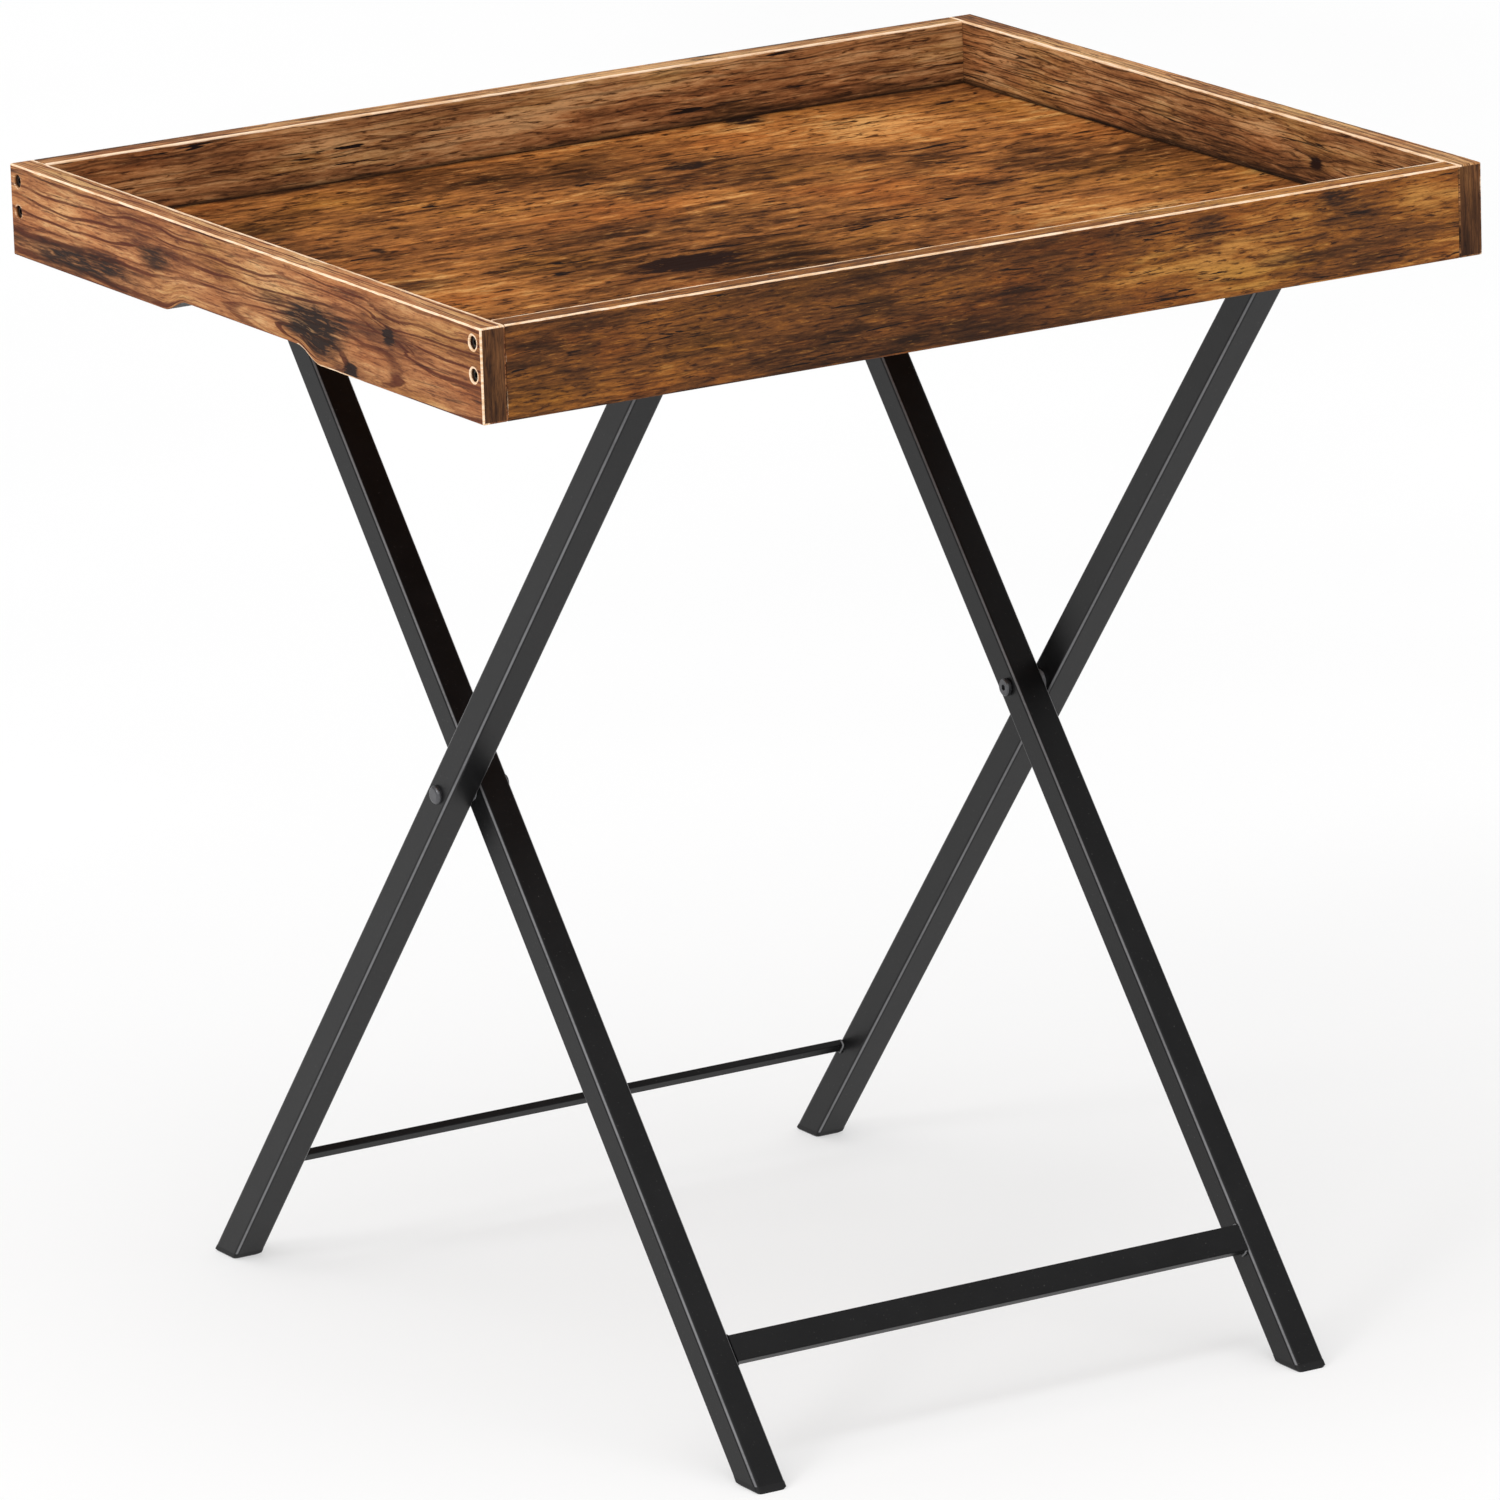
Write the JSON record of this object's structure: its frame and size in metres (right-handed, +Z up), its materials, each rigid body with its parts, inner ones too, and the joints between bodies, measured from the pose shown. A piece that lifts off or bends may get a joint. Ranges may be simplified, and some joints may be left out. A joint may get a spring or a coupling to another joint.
{
  "type": "folding tray table",
  "caption": "Loose wooden serving tray with a low rim and finger notches, resting on a black square-tube crossed-leg stand that folds about its pivot bolts.",
  "frame": {"origin": "middle of the footprint, on the floor", "axes": "+X along the tray's long side, to the right seen from the front; +Y from the front to the back; +Z up"},
  "size_m": [0.5, 0.4458, 0.521],
  "materials": {
    "tray_floor_wood": "rustic brown grain with knots, satin lacquer",
    "long_board_wood": "rustic dark brown grain, satin lacquer, pale worn arrises",
    "end_board_wood": "rustic orange brown grain with cathedral figure, satin lacquer, pale worn arrises",
    "black_screw": "black oxide",
    "black_frame": "satin black powder coat",
    "black_plug": "matte moulded black",
    "pivot_hardware": "dark grey plated",
    "spacer_nylon": "grey nylon"
  },
  "bodies": {
    "outer_frame": {"outer_leg_left": "black_frame", "outer_leg_right": "black_frame", "outer_lower_bar": "black_frame", "outer_top_rail": "black_frame", "outer_foot_plug_left": "black_plug", "outer_foot_plug_right": "black_plug", "outer_top_plug_left": "black_plug", "outer_top_plug_right": "black_plug", "pivot_bolt_left": "pivot_hardware", "pivot_bolt_right": "pivot_hardware", "pivot_nut_left": "pivot_hardware", "pivot_nut_right": "pivot_hardware", "spacer_washer_left": "spacer_nylon", "spacer_washer_right": "spacer_nylon"},
    "inner_frame": {"inner_leg_left": "black_frame", "inner_leg_right": "black_frame", "inner_lower_bar": "black_frame", "inner_top_rail": "black_frame", "inner_foot_plug_left": "black_plug", "inner_foot_plug_right": "black_plug", "inner_top_plug_left": "black_plug", "inner_top_plug_right": "black_plug"},
    "tray": {"tray_panel": "tray_floor_wood", "front_board": "long_board_wood", "back_board": "long_board_wood", "left_end_board": "end_board_wood", "right_end_board": "end_board_wood", "left_front_screws": "black_screw", "left_back_screws": "black_screw", "right_front_screws": "black_screw", "right_back_screws": "black_screw"}
  },
  "joints": [
    {"name": "tray_lift", "type": "slide", "parent": "outer_frame", "child": "tray", "axis": [0, 0, 1], "range_m": [0, 0.3]},
    {"name": "stand_fold", "type": "hinge", "parent": "outer_frame", "child": "inner_frame", "pos_m": [0, 0, 0.26338], "axis": [1, 0, 0], "range_deg": [0, 77]}
  ],
  "couplings": [
    {"joint": "stand_fold", "follows": "tray_lift", "rad_per_m": 4.479}
  ]
}
